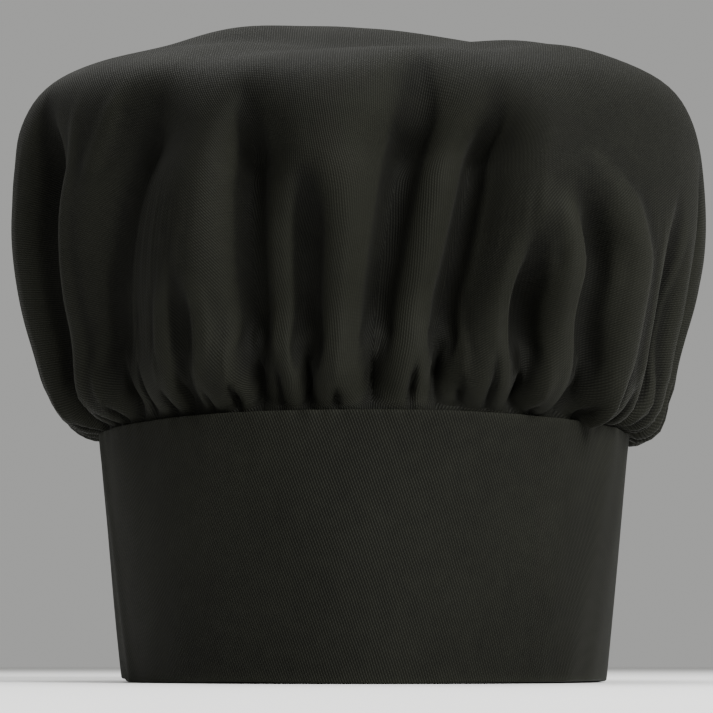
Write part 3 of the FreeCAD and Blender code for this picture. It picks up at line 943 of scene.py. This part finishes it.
def rounded_bar(inner, outer, low, high, round_off):
    """A flat bar's cut with rounded edges: offsets and heights, anticlockwise from the top outer corner."""
    turn = min(round_off, 0.49 * (outer - inner))
    rise = np.linspace(low + turn, high - turn, 12)
    line = arc(outer - turn, high - turn, turn, 0, 90, 4)
    line += arc(inner + turn, high - turn, turn, 90, 180, 4)
    line += [(inner, z) for z in rise[-2:0:-1]]
    line += arc(inner + turn, low + turn, turn, 180, 270, 4)
    line += arc(outer - turn, low + turn, turn, 270, 360, 4)
    line += [(outer, z) for z in rise[1:-1]]
    return line


def stiffener(name, start, end, low):
    """The interfacing inside a stretch of the folded strip. It follows the strip's own waves."""
    outline = rounded_bar(-1.2 * MM, -0.5 * MM, low, BAND_HEIGHT - 7 * MM, 0.3 * MM)

    def follow(angle, height):
        return lap_lift(angle) + band_unevenness(angle, height)

    return tape_solid(name, start, end, outline, 3 * MM, lift=follow)


# ---------------------------------------------------------------- threads, hooks and loops


def tubes(name, paths, wide, high, facing, sides=6):
    """Many short tubes in one piece. paths is tubes by stations by x, y, z. wide and high are half sizes at
    each station, and facing is each tube's direction away from the cloth."""
    count, stations = paths.shape[:2]
    along = unit(np.gradient(paths, axis=1))
    across = unit(np.cross(along, facing[:, None, :]))
    out = np.cross(across, along)
    turn = np.arange(sides) * 2 * math.pi / sides
    rings = (
        paths[:, :, None, :]
        + across[:, :, None, :] * (wide[:, None] * np.cos(turn))[..., None]
        + out[:, :, None, :] * (high[:, None] * np.sin(turn))[..., None]
    )
    one = tube_faces(stations, sides)
    faces = [tuple(i * stations * sides + k for k in face) for i in range(count) for face in one]
    piece = mesh_piece(name, rings.reshape(-1, 3), faces)
    gone = np.cumsum(np.linalg.norm(np.diff(paths, axis=1, prepend=paths[:, :1]), axis=-1), axis=1)
    laid_apart = np.arange(count)[:, None, None] * 13 * MM
    set_flat(piece, gone[:, :, None] + laid_apart, turn * wide.max())
    return piece


def tube_faces(stations, sides):
    """A tube's faces, with both ends closed."""
    first = list(range(sides))
    last = [(stations - 1) * sides + k for k in first]
    return grid_faces(stations, sides, True).tolist() + [first[::-1], last]


def stitches(name, seats, directions, facings, long=STITCH_LONG, wide=STITCH_WIDE, high=STITCH_HIGH):
    """Stitches of sewing thread: each rises out of the cloth, lies along it and goes back in."""
    t = np.linspace(-1, 1, 9)
    groups = (seats, directions, facings)
    seats, directions, facings = (np.array([tuple(vector) for vector in group]) for group in groups)
    swell = np.sqrt(1 - np.abs(t) ** 3 * 0.96)
    lift = high * (0.5 * swell - 0.35 * np.abs(t) ** 4)
    paths = (
        seats[:, None, :]
        + directions[:, None, :] * (t * long / 2)[:, None]
        + facings[:, None, :] * lift[:, None]
    )
    return tubes(name, paths, wide / 2 * swell, high / 2 * swell, facings)


def stitch_row(start, end, height, offset, facing=1):
    """Seats, directions and facings of a row of stitches round the band."""
    count = max(1, int(math.radians(abs(end - start)) * HEM_HALF[1] / STITCH_PITCH))
    rows = []
    for i in range(count):
        angle = start + (end - start) * (i + 0.5) / count
        outward = outward_at(angle, height)
        seat = Vector(wall(angle, height, offset))
        rows.append((seat, Vector((0, 0, 1)).cross(outward), outward * facing))
    return rows


def stitch_column(angle, low, high, offset):
    count = max(1, int((high - low) / STITCH_PITCH))
    outward = outward_at(angle, low)
    heights = [low + (high - low) * (i + 0.5) / count for i in range(count)]
    return [(Vector(wall(angle, z, offset)), Vector((0, 0, 1)), outward) for z in heights]


def stitch_box(name, start, end, offset):
    """A rectangle of stitches that holds a tape along its four edges."""
    low, high = STRIP_LOW + STITCH_INSET, STRIP_HIGH - STITCH_INSET
    inset = band_degrees(STITCH_INSET)
    rows = stitch_row(start + 2 * inset, end - 2 * inset, low, offset)
    rows += stitch_row(start + 2 * inset, end - 2 * inset, high, offset)
    for angle in (start + inset, end - inset):
        rows += stitch_column(angle, low + 1 * MM, high - 1 * MM, offset)
    return stitches(name, *zip(*rows))


def bar_tacks():
    """Two dense bar tacks across the strip, just before the hinge line: short threads laid side by side that
    lean up and down by turns."""
    angle = HINGE - band_degrees(1.6 * MM)
    count, tall, lean = 18, 6.6 * MM, 0.22
    rows = []
    for height in (0.12 * BAND_HEIGHT, 0.92 * BAND_HEIGHT):
        outward = outward_at(angle, height)
        sideways = Vector((0, 0, 1)).cross(outward)
        for i in range(count):
            z = height + (i / (count - 1) - 0.5) * tall
            slant = Vector((0, 0, lean if i % 2 else -lean))
            seat = Vector(wall(angle, z, LAP_LIFT + 0.08 * MM))
            rows.append((seat, (sideways + slant).normalized(), outward))
    return stitches("bar_tacks", *zip(*rows), long=1.7 * MM, wide=0.42 * MM, high=0.4 * MM)


def strip_seats(start, end, inset, pitch):
    """The angle and the height of each place in a grid over a closure strip."""
    angles = np.arange(start + band_degrees(inset), end - band_degrees(inset), band_degrees(pitch))
    heights = np.arange(STRIP_LOW + inset, STRIP_HIGH - inset, pitch)
    return [places.ravel() for places in np.meshgrid(angles, heights)]


def loop_pile():
    """The loop strip's pile: small thread arches that stand in every direction, denser than they are tall."""
    rng = np.random.default_rng(31)
    pitch = 1.05 * MM
    grid_angle, grid_height = strip_seats(LOOP_FROM, LOOP_TO, 1.6 * MM, pitch)
    grid_angle += rng.uniform(-0.5, 0.5, grid_angle.size) * band_degrees(pitch)
    grid_height += rng.uniform(-0.5, 0.5, grid_height.size) * pitch
    spin = rng.uniform(0, 2 * math.pi, grid_angle.size)
    tall = (PILE - TAPE_BASE) * rng.uniform(0.6, 0.94, grid_angle.size)
    t = np.linspace(0, math.pi, 7)
    reach = 0.45 * MM * np.cos(t)
    across = reach * np.cos(spin)[:, None]
    along = reach * np.sin(spin)[:, None]
    up = np.sin(t) * tall[:, None]
    angle = grid_angle[:, None] + np.degrees(across / HEM_HALF[1])
    paths = wall(angle, grid_height[:, None] + along, TAPE_BASE + up)
    facing = wall(grid_angle, grid_height, 1 * MM) - wall(grid_angle, grid_height, 0.0)
    sideways = unit(np.stack([facing[:, 1], -facing[:, 0], facing[:, 2]], axis=-1))
    size = np.full(len(t), 0.055 * MM)
    return tubes("loop_pile", paths, size, size, sideways, 4)


def hook_rows():
    """The hook strip's hooks: stiff bent threads in rows, which face the pile."""
    rng = np.random.default_rng(37)
    grid_angle, grid_height = strip_seats(HOOK_FROM, HOOK_TO, 1.7 * MM, 1.35 * MM)
    lean = np.where(np.arange(grid_angle.size) % 2 == 0, 1, -1) * rng.uniform(0.85, 1.1, grid_angle.size)
    foot = LAP_LIFT - BAND_THICK - SLIP - TAPE_BASE
    tall = 0.5 * MM
    t = np.linspace(0, 1, 8)
    forward = np.where(t < 0.5, 0, 0.32 * MM * np.sin((t - 0.5) * 2 * math.pi * 0.75))
    down = np.where(t < 0.5, t * 2 * tall * 0.8, tall * (0.8 + 0.2 * np.sin((t - 0.5) * 2 * math.pi)))
    angle = grid_angle[:, None] + np.degrees(forward * lean[:, None] / HEM_HALF[1])
    paths = wall(angle, grid_height[:, None], foot - down)
    facing = np.tile((0.0, 0.0, 1.0), (grid_angle.size, 1))
    size = 0.09 * MM * (1 - 0.35 * t)
    return tubes("hook_rows", paths, size, size, facing, 5)


def label_ribbon():
    """The care label: one ribbon folded at its lower end, with its two cut ends sewn flat on the binding."""
    head_top = BINDING_LOW + SLIP + LABEL_HEAD
    fold = LABEL_TOP - LABEL_DROP
    half = LABEL_THICK / 2
    line = [(half, z) for z in np.linspace(head_top, fold + half, 40)]
    line += [(half * math.cos(t), fold + half - half * math.sin(t)) for t in np.linspace(0, math.pi, 9)[1:-1]]
    line += [(-half, z) for z in np.linspace(fold + half, head_top, 40)]
    out, height = np.array(line).T
    columns = 24
    side = np.linspace(-0.5, 0.5, columns) * LABEL_WIDTH
    outward = np.array(outward_at(LABEL_ANGLE, LABEL_TOP))
    along = np.cross((0, 0, 1), outward)
    hang = np.clip(LABEL_TOP - height, 0, None)
    curl = -2.2 * MM * (hang / LABEL_DROP) ** 2
    ripple = 0.35 * MM * np.sin(hang / LABEL_DROP * 5)[:, None] * np.cos(side / LABEL_WIDTH * 4)
    middle = wall(LABEL_ANGLE, height, LABEL_OUT - half)
    top = wall(LABEL_ANGLE, LABEL_TOP, LABEL_OUT - half)
    middle[:, :2] = np.where(height[:, None] > LABEL_TOP, middle[:, :2], top[:2])
    # the head follows the binding's curve and the hanging part is flat
    curve = (side / HEM_HALF[1]) ** 2 / 2 * HEM_HALF[1]
    bend = smooth(LABEL_TOP - 12 * MM, LABEL_TOP, height)
    depth = (out + curl)[:, None] + ripple - curve * bend[:, None]
    points = middle[:, None, :] + along * side[:, None] + outward * depth[..., None]
    piece = mesh_piece("label_ribbon", points.reshape(-1, 3), grid_faces(len(out), columns, False))
    length = running_length(out, height)
    set_flat(piece, side, length[:, None])
    return piece, length[-1]


def binding_outline():
    """The binding's cut: an outer leg, a fold below and an inner leg, as one closed line."""
    high = BINDING_LOW + BINDING_HEIGHT
    wide = (BINDING_OUT - BINDING_IN) / 2
    middle = (BINDING_OUT + BINDING_IN) / 2
    low = BINDING_LOW + TAPE + wide * 0.6
    outside = [(BINDING_OUT, high), (BINDING_OUT, (high + low) / 2), (BINDING_OUT, low)]
    for t in np.linspace(0, math.pi, 9)[1:-1]:
        outside.append((middle + wide * math.cos(t), low - (low - BINDING_LOW) * math.sin(t)))
    # the inner leg stands one tape's thickness further in, and the fold's last point leads out to it
    inner_face = BINDING_IN - TAPE
    outside[-1] = ((inner_face + outside[-1][0]) / 2, outside[-1][1])
    outside += [(inner_face, low), (inner_face, (high + low) / 2), (inner_face, high)]
    inside = [(BINDING_IN, high), (BINDING_IN, low)]
    for t in np.linspace(math.pi, 0, 7)[1:-1]:
        inside.append((middle + (wide - TAPE) * math.cos(t), low - (low - BINDING_LOW - TAPE) * math.sin(t)))
    inside += [(BINDING_OUT - TAPE, low), (BINDING_OUT - TAPE, high)]
    return outside + inside


# ---------------------------------------------------------------- scene


def make_camera():
    """A view from the front, at hem height, tilted a little upwards. The lens and its sensor are in mm."""
    data = bpy.data.cameras.new("camera")
    data.lens = 100.8
    data.sensor_width = 36.0
    data.clip_start = 50 * MM
    camera = place_in_scene("camera", data)
    camera.location = (-2.7 * MM, -750 * MM, 6 * MM)
    camera.rotation_euler = (math.radians(90 + 8.8), 0, 0)
    bpy.context.scene.camera = camera


def make_light(name, place, aim, size, power):
    """A square soft light at a place, turned to its aim, with its size in metres and its power in watts."""
    data = bpy.data.lights.new(name, "AREA")
    data.energy = power
    data.size = size
    light = place_in_scene(name, data)
    light.location = place
    light.rotation_euler = (Vector(aim) - Vector(place)).to_track_quat("-Z", "Y").to_euler()


def make_stage():
    """A pale floor, a soft light from the front right, another from above, and an even fill all round."""
    half = 6.0
    corners = [(-half, -half, 0), (half, -half, 0), (half, half, 0), (-half, half, 0)]
    floor = mesh_piece("floor", corners, [(0, 1, 2, 3)])
    floor.data.materials.append(painted_floor("floor"))
    world = bpy.data.worlds.new("world")
    bpy.context.scene.world = world
    world.use_nodes = True
    fill = world.node_tree.nodes["Background"]
    fill.inputs["Color"].default_value = (0.96, 0.96, 0.94, 1)
    fill.inputs["Strength"].default_value = 0.41
    make_light("key", (0.75, -0.9, 0.9), (0, 0, 0.15), 0.6, 38)
    make_light("top", (-0.2, 0.1, 1.3), (0, 0, 0.2), 0.9, 17)


def dress(piece, body, slot, material, *nodes):
    """Gives a piece its material and its body, and hides the CAD nodes that it stands for. The slot is not
    used. A piece that is blended across a joint has no body here."""
    piece.data.materials.append(material)
    if body:
        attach(piece, body)
    if nodes:
        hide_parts(*nodes)


def make_crown():
    crown, radius = crown_cloth()
    cloth = twill("crown_twill", CROWN_DARK, CROWN_LIGHT, CROWN_LEAN)
    dress(crown, "hat", "crown_twill", cloth, "crown")


def make_band():
    cloth = twill("band_twill", BAND_DARK, BAND_LIGHT, BAND_LEAN)
    felt = nonwoven("interfacing", (0.42, 0.41, 0.38), (0.62, 0.61, 0.57))
    band, cut = strip_cloth("band_cloth", UNDERLAP_END, PIECE_SPLIT, True, False, 1.5 * MM)
    dress(band, "hat", "band_twill", cloth, "band_cover")
    tab, cut = strip_cloth("tab_cloth", PIECE_SPLIT, TAB_END, False, True, 1.1 * MM)
    dress(tab, None, "band_twill", cloth, "tab_cover")
    middle = BAND_HEIGHT / 2
    start, end = (tuple(wall(angle, middle, LAP_LIFT)) for angle in (HINGE, BEND_END))
    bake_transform(tab)
    lining = stiffener("band_interfacing", UNDERLAP_END + 1, HINGE - 1, 1.2 * MM)
    dress(lining, "hat", "interfacing", felt, "band_stiffener")
    lining = stiffener("tab_interfacing", BEND_END + 1, TAB_END - 1, 2.2 * MM)
    dress(lining, "closure_tab", "interfacing", felt, "tab_stiffener")


def make_tapes():
    woven = plain_weave("tape_weave", (0.008, 0.008, 0.008), (0.03, 0.03, 0.028))
    outline = rounded_bar(SLIP, TAPE_BASE, STRIP_LOW, STRIP_HIGH, 0.13 * MM)
    base = tape_solid("loop_tape", LOOP_FROM, LOOP_TO, outline, 1.5 * MM)
    dress(base, "hat", "loop_pile", woven, "loop_strip")
    pile = twisted_thread("loop_pile", (0.006, 0.006, 0.006), (0.035, 0.035, 0.032), 0.3 * MM, 0.3, 0.7)
    dress(loop_pile(), "hat", "loop_pile", pile)
    back = LAP_LIFT - BAND_THICK - SLIP
    outline = rounded_bar(back - TAPE_BASE, back, STRIP_LOW, STRIP_HIGH, 0.13 * MM)
    base = tape_solid("hook_tape", HOOK_FROM, HOOK_TO, outline, 1.5 * MM)
    dress(base, "closure_tab", "hook_tape", woven, "hook_strip")
    nylon = moulded_nylon("hook_nylon", (0.01, 0.01, 0.01), (0.04, 0.04, 0.04))
    dress(hook_rows(), "closure_tab", "hook_tape", nylon)
    binding = tape_solid("binding_tape", 0.0, 360.0, binding_outline(), 1.6 * MM, closed=True)
    cotton = herringbone("binding_tape", (0.01, 0.01, 0.009), (0.05, 0.05, 0.045))
    dress(binding, "hat", "cotton_tape", cotton, "seam_binding")


def make_threads():
    dark, light = (0.006, 0.006, 0.006), (0.04, 0.04, 0.036)
    thread = twisted_thread("sewing_thread", dark, light)
    loop_box = stitch_box("loop_tape_stitches", TAB_END + 1, LOOP_TO, PILE + SLIP)
    hook_box = stitch_box("hook_tape_stitches", HOOK_FROM, HOOK_TO, LAP_LIFT + SLIP)
    height = BINDING_LOW + LABEL_HEAD + 2 * SLIP + STITCH_WIDE
    row = stitch_row(0, 360, height, BINDING_IN - TAPE - SLIP, -1)
    binding_row = stitches("binding_row", *zip(*row))
    tacks = bar_tacks()
    half = band_degrees(0.42 * LABEL_WIDTH)
    height = BINDING_LOW + 0.3 * LABEL_HEAD
    row = stitch_row(LABEL_ANGLE - half, LABEL_ANGLE + half, height, LABEL_OUT - LABEL_THICK - SLIP, -1)
    label_row = stitches("label_row", *zip(*row))
    dress(loop_box, "hat", "sewing_thread", thread, "loop_strip_stitches")
    dress(hook_box, "closure_tab", "sewing_thread", thread, "hook_strip_stitches")
    dress(binding_row, "hat", "sewing_thread", thread, "binding_stitches")
    dress(tacks, "hat", "sewing_thread", thread, "tab_root_tacks")
    dress(label_row, "hat", "sewing_thread", thread, "label_stitches")
    plain = solid_thread("seam_thread", dark, light)
    for node in ("gathering_threads", "crown_seam_thread"):
        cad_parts[node].data.materials.clear()
        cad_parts[node].data.materials.append(plain)


def make_label():
    label, length = label_ribbon()
    ribbon = satin("label_satin", (0.62, 0.60, 0.55), (0.80, 0.78, 0.73))
    dress(label, None, "label_satin", ribbon, "care_label", "label_head")
    head = tuple(wall(LABEL_ANGLE, LABEL_TOP, LABEL_OUT))
    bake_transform(label)


make_camera()
make_crown()
make_band()
make_tapes()
make_threads()
make_label()
make_stage()
